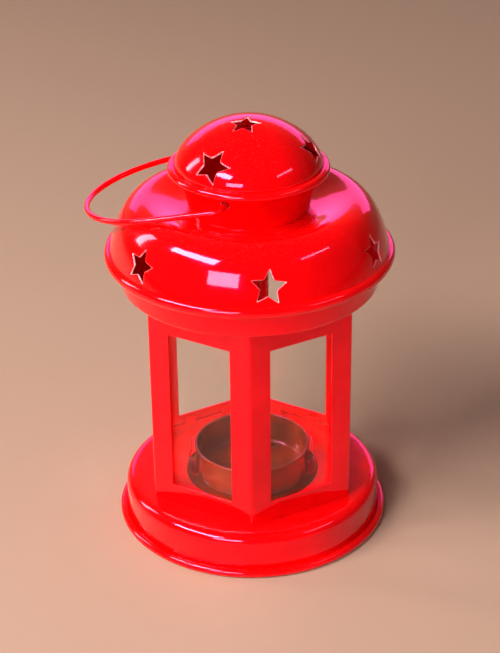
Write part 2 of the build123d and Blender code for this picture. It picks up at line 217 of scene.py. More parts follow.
def rounded(corners, radii, step=2.0, arc_steps=8):
    """A path through corners, each bend turned with its radius, and points along its straight runs."""
    corners = [np.array(corner, float) for corner in corners]
    path = [corners[0]]
    for before, corner, after, radius in zip(corners, corners[1:], corners[2:], radii):
        into = (before - corner) / np.linalg.norm(before - corner)
        away = (after - corner) / np.linalg.norm(after - corner)
        half = math.acos(float(np.clip(into @ away, -1, 1))) / 2
        reach = radius / math.tan(half)
        centre = corner + (into + away) / np.linalg.norm(into + away) * radius / math.sin(half)
        start = corner + into * reach - centre
        end = corner + away * reach - centre
        turn = math.atan2(start[0] * end[1] - start[1] * end[0], start @ end)
        for k in range(arc_steps + 1):
            angle = turn * k / arc_steps
            spin = np.array([[math.cos(angle), -math.sin(angle)], [math.sin(angle), math.cos(angle)]])
            path.append(centre + spin @ start)
    path.append(corners[-1])
    dense = [path[0]]
    for before, after in zip(path, path[1:]):
        count = max(1, int(np.linalg.norm(after - before) / step))
        dense += [before + (after - before) * k / count for k in range(1, count + 1)]
    return np.array(dense)


def normals_of(path, side):
    """Unit normals along a plane path, to its left for side 1."""
    along = np.gradient(path, axis=0)
    along /= np.linalg.norm(along, axis=1)[:, None]
    return np.column_stack([-along[:, 1], along[:, 0]]) * side


class Turned:
    """A surface turned about the axis. v is the length along its section path."""

    def __init__(self, path, side):
        self.path = np.array(path, float)
        self.normal = normals_of(self.path, side)
        gaps = np.linalg.norm(np.diff(self.path, axis=0), axis=1)
        self.length = np.concatenate([[0], np.cumsum(gaps)])

    def section(self, v, depth=0.0):
        at = [np.interp(v, self.length, column) for column in (*self.path.T, *self.normal.T)]
        return at[0] - depth * at[2], at[1] - depth * at[3]

    def place(self, azimuth, v, depth):
        r, z = self.section(v, depth)
        angle = math.radians(azimuth)
        return r * math.sin(angle), -r * math.cos(angle), z

    def degree(self, v):
        """Millimetres round the surface for one degree of azimuth."""
        return math.radians(1) * self.section(v)[0]


def star(radius, twist):
    """The outline of a star as a function of how far it grows outward, with softly rounded points."""
    tip = np.array([0.0, 1.0])
    waist = STAR_WAIST * np.array([math.sin(math.radians(36)), math.cos(math.radians(36))])
    side_reach = radius * abs(tip[0] * waist[1] - tip[1] * waist[0]) / np.linalg.norm(tip - waist)
    corners = []
    for k in range(10):
        reach = radius * (1 if k % 2 == 0 else STAR_WAIST)
        angle = math.radians(twist + 36 * k)
        corners.append(np.array([reach * math.sin(angle), reach * math.cos(angle)]))
    points = []
    for k in range(10):
        here, after, before = corners[k], corners[(k + 1) % 10], corners[k - 1]
        start, end = here + (before - here) * STAR_SOFT, here + (after - here) * STAR_SOFT
        for t in np.linspace(0, 1, 6):
            points.append(start * (1 - t) ** 2 + 2 * here * t * (1 - t) + end * t * t)
        run_end = after + (here - after) * STAR_SOFT
        points += [end + (run_end - end) * part / 6 for part in range(1, 6)]
    points = np.array(points)
    return lambda grow: points * (1 + grow / side_reach)


def disc(radius, steps=40):
    angles = np.linspace(0, 2 * math.pi, steps, endpoint=False)
    circle = np.column_stack([np.sin(angles), np.cos(angles)])
    return lambda grow: circle * (radius + grow)


def rounded_window(half_width, half_height, corner, grow):
    """The outline of a window with rounded corners, grown outward all round."""
    points = []
    for k, (sx, sy) in enumerate(((1, 1), (1, -1), (-1, -1), (-1, 1))):
        centre = np.array([sx * (half_width - corner), sy * (half_height - corner)])
        for t in np.linspace(0, 1, 7):
            angle = math.radians(90 * (k + t))
            points.append(centre + (corner + grow) * np.array([math.sin(angle), math.cos(angle)]))
    dense = []
    for k, point in enumerate(points):
        after = points[(k + 1) % len(points)]
        # corners stay as they are, long sides are cut in 16 and short ones in 8
        count = 1 if (k + 1) % 7 else (16 if k // 7 % 2 == 0 else 8)
        dense += [point + (after - point) * step / count for step in range(count)]
    return np.array(dense)


def inside(point, outline):
    x, y = point
    x0, y0 = outline[:, 0], outline[:, 1]
    x1, y1 = np.roll(x0, -1), np.roll(y0, -1)
    crosses = (y0 > y) != (y1 > y)
    slope = np.where(crosses, (x1 - x0) / np.where(y1 == y0, 1e-12, y1 - y0), 0)
    return bool(np.count_nonzero(crosses & (x < x0 + (y - y0) * slope)) % 2)


def fill_patch(shell, flat, outer, inner, loops, hole_flat):
    """Triangles over a patch laid out flat, on both faces of the sheet, around one hole."""
    edges = [(loop[k], loop[(k + 1) % len(loop)]) for loop in loops for k in range(len(loop))]
    result = delaunay_2d_cdt([Vector(p) for p in flat], edges, [], 0, 1e-7)
    source = [origins[0] for origins in result[3]]
    for triangle in result[2]:
        middle = sum((result[0][i] for i in triangle), Vector((0, 0))) / 3
        if inside(middle, hole_flat):
            continue
        shell.faces.append(tuple(outer[source[i]] for i in triangle))
        shell.faces.append(tuple(inner[source[i]] for i in reversed(triangle)))


def hole_edge(shell, place, outline, thickness, lip):
    """The rounded edge and the wall of a hole. Returns its outermost row on each face."""
    rows = []
    for k in range(ROUND_STEPS + 1):
        angle = math.pi / 2 * k / ROUND_STEPS
        depth = lip * (1 - math.cos(angle))
        rows.append(shell.ring(place(p, depth) for p in outline(lip * (1 - math.sin(angle)))))
    rows.append(shell.ring(place(p, thickness) for p in outline(0)))
    rows.append(shell.ring(place(p, thickness) for p in outline(lip)))
    for k, (first, second) in enumerate(zip(rows, rows[1:])):
        start = len(shell.faces)
        shell.strip(first, second)
        if LACQUERED_STEPS <= k <= ROUND_STEPS:
            shell.edge_faces += range(start, len(shell.faces))
    return rows[0], rows[-1]


def pierced_sheet(surface, u_lines, v_lines, turn, holes=(), thickness=SHEET, lip=STAR_LIP, crown=None):
    """A sheet that closes on itself along u, with holes. A hole is (u, v, outline, scale at v).

    The grid cells round a hole are left out and filled with triangles. A crown closes the last row.
    """
    shell = Shell()
    columns = len(u_lines)
    outer = [[shell.put(surface.place(u, v, 0)) for v in v_lines] for u in u_lines]
    inner = [[shell.put(surface.place(u, v, thickness)) for v in v_lines] for u in u_lines]
    used = set()
    for u0, v0, outline, scale in holes:
        reach = outline(lip)
        spans = np.array([(u0 + x / scale(v0 + y), v0 + y) for x, y in reach])
        i0 = int(np.searchsorted(u_lines, spans[:, 0].min() % turn)) - 2
        i1 = i0 + 1
        # the patch's columns, with u counted on past the place where the sheet closes
        first = u_lines[i0 % columns] - (turn if i0 < 0 else 0)
        first += round((spans[:, 0].min() - first) / turn) * turn
        column_u = [first]
        while column_u[-1] < spans[:, 0].max() + PATCH_MARGIN[0] / scale(v0):
            gap = (u_lines[i1 % columns] - u_lines[(i1 - 1) % columns]) % turn
            column_u.append(column_u[-1] + gap)
            i1 += 1
        j0 = max(0, int(np.searchsorted(v_lines, spans[:, 1].min() - PATCH_MARGIN[1])) - 1)
        j1 = min(len(v_lines) - 1, int(np.searchsorted(v_lines, spans[:, 1].max() + PATCH_MARGIN[1])))
        ids = [i % columns for i in range(i0, i0 + len(column_u))]
        used |= {(i, j) for i in ids[:-1] for j in range(j0, j1)}
        unit = scale(v0)

        def laid_flat(points):
            return np.array([((u0 + x / scale(v0 + y)) * unit, v0 + y) for x, y in points])

        clear = laid_flat(outline(lip + HOLE_CLEAR))
        flat, top, under, border = [], [], [], {}
        for a, i in enumerate(ids):
            for j in range(j0, j1 + 1):
                point = (column_u[a] * unit, v_lines[j])
                edge = a in (0, len(ids) - 1) or j in (j0, j1)
                if not edge and inside(point, clear):
                    continue
                border[(a, j)] = len(flat)
                flat.append(point)
                top.append(outer[i][j])
                under.append(inner[i][j])
        last = len(ids) - 1
        frame_loop = [(a, j0) for a in range(last)] + [(last, j) for j in range(j0, j1)]
        frame_loop += [(a, j1) for a in range(last, 0, -1)] + [(0, j) for j in range(j1, j0, -1)]

        def place(p, depth):
            return surface.place(u0 + p[0] / scale(v0 + p[1]), v0 + p[1], depth)

        rim, under_rim = hole_edge(shell, place, outline, thickness, lip)
        hole_flat = laid_flat(reach)
        start = len(flat)
        flat += [tuple(point) for point in hole_flat]
        loops = [[border[key] for key in frame_loop], list(range(start, len(flat)))]
        fill_patch(shell, flat, top + rim, under + under_rim, loops, hole_flat)
    for i in range(columns):
        n = (i + 1) % columns
        for j in range(len(v_lines) - 1):
            if (i, j) not in used:
                shell.faces.append((outer[i][j], outer[n][j], outer[n][j + 1], outer[i][j + 1]))
                shell.faces.append((inner[i][j + 1], inner[n][j + 1], inner[n][j], inner[i][j]))
    shell.strip([column[0] for column in outer], [column[0] for column in inner])
    if crown is None:
        shell.strip([column[-1] for column in outer], [column[-1] for column in inner])
    else:
        crown(shell, [column[-1] for column in outer], [column[-1] for column in inner])
    return shell


def turned_sheet(path, side, thickness=SHEET):
    """A plain turned sheet along a section path."""
    surface = Turned(path, side)
    return pierced_sheet(surface, AZIMUTHS, surface.length, 360.0, thickness=thickness)


def roll(centre_radius, centre_z, radius, start, sweep, floor_z=None):
    """A curled edge: a sheet rolled into an open tube."""
    shell = turned_sheet(arc((centre_radius, centre_z), radius, start, sweep, 40), -1 if sweep > 0 else 1)
    if floor_z is not None:
        shell.points = [(x, y, max(z, floor_z)) for x, y, z in shell.points]
    return shell


def bent_strip(path, width, thickness, soft=0.08):
    """A flat strip that bends in the YZ plane, with its width along X and slightly eased edges."""
    shell = Shell()
    path = np.array(path, float)
    normal = normals_of(path, 1)
    half, edge = width / 2, thickness / 2
    section = [(half - soft, edge), (half, edge - soft), (half, soft - edge), (half - soft, -edge)]
    section += [(-x, y) for x, y in reversed(section)]
    rows = []
    for point, across in zip(path, normal):
        rows.append(shell.ring((x, point[0] + y * across[0], point[1] + y * across[1]) for x, y in section))
    for first, second in zip(rows, rows[1:]):
        shell.strip(first, second)
    shell.faces += [tuple(rows[0]), tuple(reversed(rows[-1]))]
    return shell


def tube(points, radii, sides=24):
    """A round bar along 3-D points, closed at both ends."""
    shell = Shell()
    points = [Vector(point) for point in points]
    rows = []
    up = None
    for k, point in enumerate(points):
        along = (points[min(k + 1, len(points) - 1)] - points[max(k - 1, 0)]).normalized()
        # each ring takes over the last one's side, so that the bar does not twist
        side = along.orthogonal() if up is None else up - along * up.dot(along)
        side.normalize()
        up = side
        other = along.cross(side)
        turns = [2 * math.pi * s / sides for s in range(sides)]
        around = [side * math.cos(turn) + other * math.sin(turn) for turn in turns]
        rows.append(shell.ring(point + direction * radii[k] for direction in around))
    for first, second in zip(rows, rows[1:]):
        shell.strip(first, second)
    shell.faces += [tuple(rows[0]), tuple(reversed(rows[-1]))]
    return shell


def piece(name, shell, material, body, replaces, sharp=38.0):
    """Make the object, smooth it, hang it on its body and hide the CAD nodes that it replaces."""
    mesh = bpy.data.meshes.new(name)
    mesh.from_pydata([Vector(point) * MM for point in shell.points], [], shell.faces)
    mesh.materials.append(material)
    if shell.edge_faces:
        mesh.materials.append(punched_edge_highlight)
    for index in shell.edge_faces:
        mesh.polygons[index].material_index = 1
    work = bmesh.new()
    work.from_mesh(mesh)
    bmesh.ops.remove_doubles(work, verts=work.verts, dist=1e-7)
    bmesh.ops.recalc_face_normals(work, faces=work.faces)
    work.to_mesh(mesh)
    work.free()
    mesh.shade_smooth()
    mesh.set_sharp_from_angle(angle=math.radians(sharp))
    thing = bpy.data.objects.new(name, mesh)
    bpy.context.scene.collection.objects.link(thing)
    lantern_pieces.objects.link(thing)
    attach(thing, body)
    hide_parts(*replaces)
    return thing


# ---- materials -----------------------------------------------------------------------------------
class Nodes:
    """A short hand for one material's node tree."""

    def __init__(self, name):
        self.material = bpy.data.materials.new(name)
        self.material.use_nodes = True
        self.tree = self.material.node_tree
        self.shader = self.tree.nodes["Principled BSDF"]
        self.spot = self.add("ShaderNodeTexCoord").outputs["Object"]

    def add(self, kind, **values):
        node = self.tree.nodes.new(kind)
        for key, value in values.items():
            setattr(node, key, value)
        return node

    def link(self, source, target):
        self.tree.links.new(source, target)

    def noise(self, scale, detail=3.0, rough=0.5, stretch=None):
        node = self.add("ShaderNodeTexNoise")
        node.inputs["Scale"].default_value = scale
        node.inputs["Detail"].default_value = detail
        node.inputs["Roughness"].default_value = rough
        spot = self.spot
        if stretch:
            mapping = self.add("ShaderNodeMapping")
            mapping.inputs["Scale"].default_value = stretch
            self.link(spot, mapping.inputs["Vector"])
            spot = mapping.outputs["Vector"]
        self.link(spot, node.inputs["Vector"])
        return node.outputs["Fac"]

    def ramp(self, source, stops):
        """A value or colour ramp: stops are (place, value or colour)."""
        node = self.add("ShaderNodeValToRGB")
        while len(node.color_ramp.elements) < len(stops):
            node.color_ramp.elements.new(0.5)
        for element, (place, value) in zip(node.color_ramp.elements, stops):
            element.position = place
            element.color = (*value, 1) if isinstance(value, tuple) else (value, value, value, 1)
        self.link(source, node.inputs["Fac"])
        return node.outputs["Color"]

    def mix(self, amount, first, second, blend="MIX"):
        # the mix node's inputs 0, 6 and 7 are its factor and its two colours
        node = self.add("ShaderNodeMix", data_type="RGBA", blend_type=blend)
        for socket, value in ((node.inputs[0], amount), (node.inputs[6], first), (node.inputs[7], second)):
            if isinstance(value, bpy.types.NodeSocket):
                self.link(value, socket)
            elif isinstance(value, tuple):
                socket.default_value = (*value, 1)
            else:
                socket.default_value = value
        return node.outputs[2]

    def bump(self, layers):
        """Stack bumps: layers are (height, strength, distance in metres)."""
        normal = None
        for height, strength, distance in layers:
            node = self.add("ShaderNodeBump")
            node.inputs["Strength"].default_value = strength
            node.inputs["Distance"].default_value = distance
            self.link(height, node.inputs["Height"])
            if normal is not None:
                self.link(normal, node.inputs["Normal"])
            normal = node.outputs["Normal"]
        self.link(normal, self.shader.inputs["Normal"])

    def set(self, **values):
        for key, value in values.items():
            self.shader.inputs[key.replace("_", " ")].default_value = value


def lacquer(name, red=(1.0, 0.0006, 0.0012), deep=(0.72, 0.0004, 0.0010), dust=0.04, dark_mottle=0.0):
    """Glossy red stoving lacquer over pressed tin: orange peel, faint press waves, dust, fine scuffs."""
    n = Nodes(name)
    tone = n.mix(n.ramp(n.noise(38, 4), [(0.35, 0.0), (0.75, 1.0)]), red, deep)
    tone = n.mix(n.ramp(n.noise(420, 5, 0.65), [(0.55, 0.0), (0.80, 0.35)]), tone, deep)
    facing = n.add("ShaderNodeSeparateXYZ")
    n.link(n.add("ShaderNodeNewGeometry").outputs["Normal"], facing.inputs[0])
    up = n.ramp(facing.outputs["Z"], [(0.35, 0.0), (0.95, 1.0)])
    specks = n.ramp(n.noise(1500, 2, 0.7), [(0.62, 0.0), (0.70, 1.0)])
    settled = n.mix(1.0, up, specks, "MULTIPLY")
    settled = n.mix(1.0, settled, (dust, dust, dust), "MULTIPLY")
    tone = n.mix(settled, tone, (0.62, 0.42, 0.36))
    # patches of the colour darkened toward near black
    if dark_mottle:
        dark_patches = n.ramp(n.noise(70, 5, 0.6), [(0.40, 0.0), (0.72, dark_mottle)])
        tone = n.mix(dark_patches, tone, (0.035, 0.012, 0.006))
    n.link(tone, n.shader.inputs["Base Color"])
    scuffs = n.noise(900, 4, 0.6, (1.0, 1.0, 0.06))
    gloss = n.mix(n.ramp(n.noise(120, 5, 0.6), [(0.42, 0.0), (0.70, 1.0)]), (0.085,) * 3, (0.17,) * 3)
    gloss = n.mix(n.ramp(scuffs, [(0.62, 0.0), (0.72, 0.5)]), gloss, (0.32,) * 3)
    n.link(gloss, n.shader.inputs["Roughness"])
    n.bump([
        (n.noise(26, 2), 0.35, 0.0006),
        (n.noise(260, 2), 0.10, 0.0002),
        (n.noise(1300, 2, 0.5), 0.05, 0.00012),
    ])
    n.set(Specular_IOR_Level=0.6, IOR=1.5, Coat_Weight=0.6, Coat_Roughness=0.03, Coat_IOR=1.4)
    n.shader.inputs["Specular Tint"].default_value = (1.0, 0.04, 0.42, 1)
    return n.material


def thin_lacquer_with_highlight(name):
    """Thinly covered tin at a punched edge, made pale pink as a painted highlight."""
    n = Nodes(name)
    tone = n.mix(n.ramp(n.noise(700, 4), [(0.4, 0.0), (0.6, 1.0)]), (0.95, 0.16, 0.24), (0.86, 0.52, 0.54))
    n.link(tone, n.shader.inputs["Base Color"])
    n.link(n.ramp(n.noise(1200, 3), [(0.3, 0.22), (0.7, 0.45)]), n.shader.inputs["Roughness"])
    n.bump([(n.noise(2200, 3), 0.2, 0.0001)])
    n.set(Metallic=0.3)
    return n.material


def clear_glass(name):
    """Thin window glass with finger smudges and dust."""
    n = Nodes(name)
    smudge = n.ramp(n.noise(55, 5, 0.62), [(0.50, 0.0), (0.78, 1.0)])
    n.link(n.mix(smudge, (0.0,) * 3, (0.04,) * 3), n.shader.inputs["Roughness"])
    dust = n.ramp(n.noise(1400, 2, 0.7), [(0.66, 0.0), (0.74, 0.25)])
    tint = n.mix(dust, (0.965, 0.985, 0.975), (0.80,) * 3)
    n.link(tint, n.shader.inputs["Base Color"])
    n.bump([(n.noise(18, 1), 0.05, 0.0003)])
    n.set(Transmission_Weight=1.0, IOR=1.35)
    return n.material


def studio_floor(name, pale, shade):
    n = Nodes(name)
    n.link(n.mix(n.noise(3, 3), pale, shade), n.shader.inputs["Base Color"])
    n.bump([(n.noise(500, 3), 0.1, 0.0003)])
    n.set(Roughness=0.62, Specular_IOR_Level=0.3)
    return n.material


# punched edges are pale pink: partly thin lacquer over tin, partly a painted highlight
punched_edge_highlight = thin_lacquer_with_highlight("punched_edge_highlight")
lantern_pieces = bpy.data.collections.new("lantern_pieces")

# ---- base dish -----------------------------------------------------------------------------------
base_red = lacquer("base_lacquer", dust=0.06)
wall_foot = FOOT_ROLL[1] + FOOT_ROLL[2] / 3             # the wall ends inside the roll
base_corners = [(FLOOR_HOLE_RADIUS, FLOOR_Z), (BASE_WALL_RADIUS, FLOOR_Z), (BASE_WALL_RADIUS, wall_foot)]
base = turned_sheet(rounded(base_corners, [BASE_SHOULDER], 2.5, 14), 1)
base.add(roll(*FOOT_ROLL, *FOOT_CURL, floor_z=0.0))
piece("base_dish_pressed", base, base_red, "lantern", ["base_dish"])


# ---- hexagonal body ------------------------------------------------------------------------------
class HexWall:
    """The body's outer face. u runs round the hexagon, one side length for each wall."""

    side = HEX_CORNER
    ease = HEX_BEND * math.tan(math.radians(30))

    def place(self, u, z, depth):
        wall, x = divmod(u, self.side)
        x -= self.side / 2
        straight = self.side / 2 - self.ease
        if abs(x) <= straight:
            point = Vector((x, -HEX_FLAT + depth, z))
        else:
            angle = math.copysign((abs(x) - straight) / self.ease * math.radians(30), x)
            centre = math.copysign(straight, x)
            reach = HEX_BEND - depth
            x_place = centre + math.sin(angle) * reach
            point = Vector((x_place, -HEX_FLAT + HEX_BEND - math.cos(angle) * reach, z))
        return tuple(on_wall(wall) @ point)


def on_wall(wall):
    """Turns the wall that faces -Y to wall number 0..5."""
    return Matrix.Rotation(math.radians(30 + 60 * wall), 4, "Z")


hex_wall = HexWall()
flat_end = hex_wall.side / 2 - hex_wall.ease
fold = [flat_end + hex_wall.ease * k / 5 for k in range(1, 5)]
local = sorted({*np.linspace(-flat_end, flat_end, 15), *fold, *(-x for x in fold), -HEX_CORNER / 2})
u_lines = np.array([wall * HEX_CORNER + HEX_CORNER / 2 + x for wall in range(6) for x in local])
z_lines = np.linspace(FLOOR_Z, BODY_TOP_Z, 24)
window_middle = sum(WINDOW_Z) / 2
window_half = (WINDOW_Z[1] - WINDOW_Z[0]) / 2


def window_outline(grow):
    return rounded_window(WINDOW_HALF_WIDTH, window_half, WINDOW_CORNER, grow)


windows = [(HEX_CORNER * (wall + 0.5), window_middle, window_outline, lambda v: 1.0)
           for wall in range(6)]
body = pierced_sheet(hex_wall, u_lines, z_lines, 6 * HEX_CORNER, windows, lip=WINDOW_LIP)
body.edge_faces.clear()             # the windows' edges are lacquered like the walls

under_floor = FLOOR_Z - SHEET - FIT_GAP - SHEET / 2
over_skirt = SKIRT_FLOOR_Z + SHEET + FIT_GAP + SHEET / 2
wall_middle = -HEX_FLAT + SHEET / 2
shelf_end = wall_middle + SHEET + 2 * FIT_GAP + PANE_THICKNESS
foot_tab = [
    (wall_middle, FLOOR_Z + TAB_ROOT),
    (wall_middle, under_floor),
    (-HEX_FLAT + TAB_LENGTH, under_floor),
]
head_tab = [
    (wall_middle, BODY_TOP_Z - TAB_ROOT),
    (wall_middle, over_skirt),
    (-HEX_FLAT - TAB_LENGTH, over_skirt),
]
for wall in range(6):
    for corners in (foot_tab, head_tab):
        tab = bent_strip(rounded(corners, [TAB_BEND]), TAB_WIDTH, TAB_SHEET)
        body.add(tab.moved(on_wall(wall)))
    for edge_z, into in ((PANE_Z[0], 1), (PANE_Z[1], -1)):
        shelf_z = edge_z - into * (FIT_GAP + SHEET / 2)
        corners = [(wall_middle, shelf_z), (shelf_end, shelf_z), (shelf_end, edge_z + into * PANE_TAB_GRIP)]
        for x in (-PANE_TAB_PLACE, PANE_TAB_PLACE):
            tab = bent_strip(rounded(corners, [TAB_BEND]), PANE_TAB_WIDTH, TAB_SHEET)
            body.add(tab.moved(on_wall(wall) @ Matrix.Translation((x, 0, 0))))
seam_y = -HEX_FLAT + 1.5 * SHEET
seam = bent_strip([(seam_y, z) for z in np.linspace(FLOOR_Z + 1, BODY_TOP_Z, 20)], SEAM_WIDTH, SHEET)
body.add(seam.moved(on_wall(SEAM_WALL) @ Matrix.Translation((sum(SEAM_REACH) / 2, 0, 0))))
body_red = lacquer("body_lacquer", dust=0.03)
piece("body_folded", body, body_red, "lantern", ["body_frame"])

# ---- glass panes, with ground edges --------------------------------------------------------------
glass = clear_glass("clear_glass")


def pane_shell():
    shell = Shell()
    front = -HEX_FLAT + SHEET + FIT_GAP
    rows = []
    for depth, shrink in ((0, PANE_EDGE), (PANE_EDGE, 0),
                          (PANE_THICKNESS - PANE_EDGE, 0), (PANE_THICKNESS, PANE_EDGE)):
        ring = []
        for sx, sz in ((1, 1), (1, -1), (-1, -1), (-1, 1)):
            x = sx * (PANE_HALF_WIDTH - shrink)
            z = (PANE_Z[1] if sz > 0 else PANE_Z[0]) - sz * shrink
            cut = [(x - sx * PANE_CORNER, z), (x, z - sz * PANE_CORNER)]
            ring += [(px, front + depth, pz) for px, pz in (cut if sx * sz > 0 else reversed(cut))]
        rows.append(shell.ring(ring))
    for first, second in zip(rows, rows[1:]):
        shell.strip(first, second)
    shell.faces += [tuple(rows[0]), tuple(reversed(rows[-1]))]
    return shell


for wall in range(6):
    pane = piece(f"window_glass_{wall + 1}", pane_shell().moved(on_wall(wall)), glass, "lantern",
                 [f"glass_pane_{wall + 1}"], sharp=20)
    pane.visible_shadow = False         # clear glass hardly shades what is behind it

# ---- roof skirt: pan with a hexagonal hole -------------------------------------------------------
skirt_corners = [
    (SKIRT_TOP_RADIUS + SKIRT_LIP[0], SKIRT_LIP[1]),
    (SKIRT_TOP_RADIUS, SKIRT_LIP[1]),
    (SKIRT_BOTTOM_RADIUS, SKIRT_FLOOR_Z),
    (SKIRT_BOTTOM_RADIUS - SKIRT_ROUND_FLOOR, SKIRT_FLOOR_Z),
]
skirt_surface = Turned(rounded(skirt_corners, [SKIRT_LIP_BEND, SKIRT_BEND], 2.0, 10), 1)


def to_hexagon(shell, top_row, under_row):
    """Carry the skirt's floor in from its round edge to the hexagonal hole."""
    rows = []
    for start, z in ((top_row, SKIRT_FLOOR_Z), (under_row, SKIRT_FLOOR_Z + SHEET)):
        row = start
        for part in (0.5, 1.0):
            ring = []
            for index in start:
                x, y, _ = shell.points[index]
                azimuth = math.atan2(x, -y)
                off_wall = (azimuth + math.pi) % (math.pi / 3) - math.pi / 6
                hole = SKIRT_HOLE_CORNER * math.cos(math.pi / 6) / math.cos(off_wall)
                radius = math.hypot(x, y)
                reach = radius + (hole - radius) * part
                ring.append(shell.put((x * reach / radius, y * reach / radius, z)))
            shell.strip(row, ring)
            row = ring
        rows.append(row)
    shell.strip(rows[0], rows[1])


skirt = pierced_sheet(skirt_surface, AZIMUTHS, skirt_surface.length, 360.0, crown=to_hexagon)
roof_red = lacquer("roof_lacquer", dust=0.05)
piece("roof_skirt_pan", skirt, body_red, "lantern", ["roof_skirt"])


# ---- roof dome and cap ---------------------------------------------------------------------------
def star_holes(surface, place, azimuths, size):
    """Stars at the same place along a turned curve, as holes for pierced_sheet."""
    v0 = place * surface.length[-1]
    outline = star(*size)
    return [(azimuth, v0, outline, surface.degree) for azimuth in azimuths]


roof_surface = Turned(bezier(ROOF_CURVE), -1)
roof_lines = np.linspace(0, roof_surface.length[-1], 60)
roof = pierced_sheet(roof_surface, AZIMUTHS, roof_lines, 360.0,
                     star_holes(roof_surface, ROOF_STAR_PLACE, ROOF_STARS, ROOF_STAR))
roof.add(roll(*ROOF_ROLL, *ROOF_CURL))
piece("roof_dome_pressed", roof, roof_red, "lantern", ["roof_dome"])

cap_surface = Turned(bezier(CAP_CURVE), -1)
cap_path = cap_surface.path
crown_v = float(np.interp(-CROWN_PATCH_RADIUS, -cap_path[:, 0], cap_surface.length))
cap_lines = np.linspace(0, crown_v, 30)


def cap_top(shell, top_row, under_row):
    """The middle of the cap, laid out flat, with its star."""

    def place(p, depth):
        radius = math.hypot(p[0], p[1])
        v = float(np.interp(-radius, -cap_path[:, 0], cap_surface.length))
        r, z = cap_surface.section(v, depth)
        if radius < 10 * AXIS_GAP:          # no direction to carry a point in, at the axis
            return p[0], p[1], z
        return p[0] * r / radius, p[1] * r / radius, z

    grown = star(*TOP_STAR)

    def outline(grow):
        return grown(grow) + np.array(TOP_STAR_CENTRE)

    rim, under_rim = hole_edge(shell, place, outline, SHEET, STAR_LIP)
    flat = [shell.points[i][:2] for i in top_row]
    top, under = list(top_row), list(under_row)
    clear = outline(STAR_LIP + HOLE_CLEAR)
    for ring in range(1, CROWN_RINGS):
        radius = CROWN_PATCH_RADIUS * (1 - ring / CROWN_RINGS)
        count = max(8, int(2 * math.pi * radius))
        for k in range(count):
            angle = 2 * math.pi * (k + ring * 0.5) / count
            point = (radius * math.cos(angle), radius * math.sin(angle))
            if not inside(point, clear):
                flat.append(point)
                top.append(shell.put(place(point, 0)))
                under.append(shell.put(place(point, SHEET)))
    start = len(flat)
    hole_flat = outline(STAR_LIP)
    flat += [tuple(point) for point in hole_flat]
    loops = [list(range(len(top_row))), list(range(start, len(flat)))]
    fill_patch(shell, flat, top + rim, under + under_rim, loops, hole_flat)


cap = pierced_sheet(cap_surface, AZIMUTHS, cap_lines, 360.0,
                    star_holes(cap_surface, CAP_STAR_PLACE, CAP_STARS, CAP_STAR), crown=cap_top)
cap.add(roll(*CAP_ROLL, *CAP_CURL))
piece("top_cap_pressed", cap, roof_red, "lantern", ["top_cap"])

# ---- neck: cone, flange and two eyed holes for the bail ------------------------------------------
neck_surface = Turned(rounded(NECK_PATH, [NECK_BEND], 1.0, 8), -1)
pivot_v = float(np.interp(BAIL_PIVOT_Z, neck_surface.path[:, 1], neck_surface.length))
eyes = [(math.degrees(BAIL_AZIMUTH) + turn, pivot_v, disc(BAIL_HOLE), neck_surface.degree)
        for turn in (0, 180)]
neck = pierced_sheet(neck_surface, AZIMUTHS, neck_surface.length, 360.0, eyes, lip=EYE_LIP)
piece("neck_cone", neck, roof_red, "lantern", ["neck_collar"])


# ---- bail ----------------------------------------------------------------------------------------
def bail_shell():
    radius, reach = BAIL_CROWN
    crown_x = radius * math.cos(BAIL_SPLAY)
    crown_y = reach - radius * math.sin(BAIL_SPLAY)
    corner_x = crown_x - crown_y * math.tan(BAIL_SPLAY)
    leg = rounded([(BAIL_HEAD[0], 0), (corner_x, 0), (crown_x, crown_y)], [BAIL_BEND], 0.8, 12)
    sweep = 180 + 2 * math.degrees(BAIL_SPLAY)
    crown = arc((0, reach), radius, -math.degrees(BAIL_SPLAY), sweep, 120)
    line = np.vstack([leg[:-1], crown, (leg * [-1, 1])[::-1][1:]])
    pivot = Vector((math.sin(BAIL_AZIMUTH), -math.cos(BAIL_AZIMUTH), 0))
    out = Vector((-math.cos(BAIL_AZIMUTH), -math.sin(BAIL_AZIMUTH), 0)) * math.cos(BAIL_DROP)
    out.z = -math.sin(BAIL_DROP)
    origin = Vector((0, 0, BAIL_PIVOT_Z))
    shell = tube([origin + pivot * x + out * y for x, y in line], [BAIL_WIRE] * len(line))
    for side in (-1, 1):
        heads = np.linspace(-math.pi / 2, math.pi / 2, 13)[1:-1]
        centre = origin + pivot * side * BAIL_HEAD[0]
        points = [centre + pivot * BAIL_HEAD[1] * math.sin(a) for a in heads]
        shell.add(tube(points, [BAIL_HEAD[1] * math.cos(a) for a in heads]))
    return shell


wire_red = lacquer("wire_lacquer", dust=0.02)
piece("bail_wire", bail_shell(), wire_red, "bail", ["bail_handle"])

# ---- candle tray: plate, cup and clips -----------------------------------------------------------
# the tray, cup and clips share the body's red; their darker, browner tones are painted shade of the closed
# candle room
shaded_tray_red = lacquer("tray_lacquer", red=(0.26, 0.022, 0.003), deep=(0.08, 0.002, 0.001), dust=0.08, dark_mottle=0.7)
shaded_clip_red = lacquer("clip_lacquer", red=(0.62, 0.003, 0.002), deep=(0.36, 0.003, 0.002), dust=0.05, dark_mottle=0.3)
tray_corners = [(AXIS_GAP, TRAY_Z[0]), (TRAY_RADIUS, TRAY_Z[0]), (TRAY_RADIUS, TRAY_Z[1])]
tray = turned_sheet(rounded(tray_corners, [TRAY_BEND], 3.0, 10), 1)
piece("tray_plate_pressed", tray, shaded_tray_red, "candle_tray", ["tray_plate"])

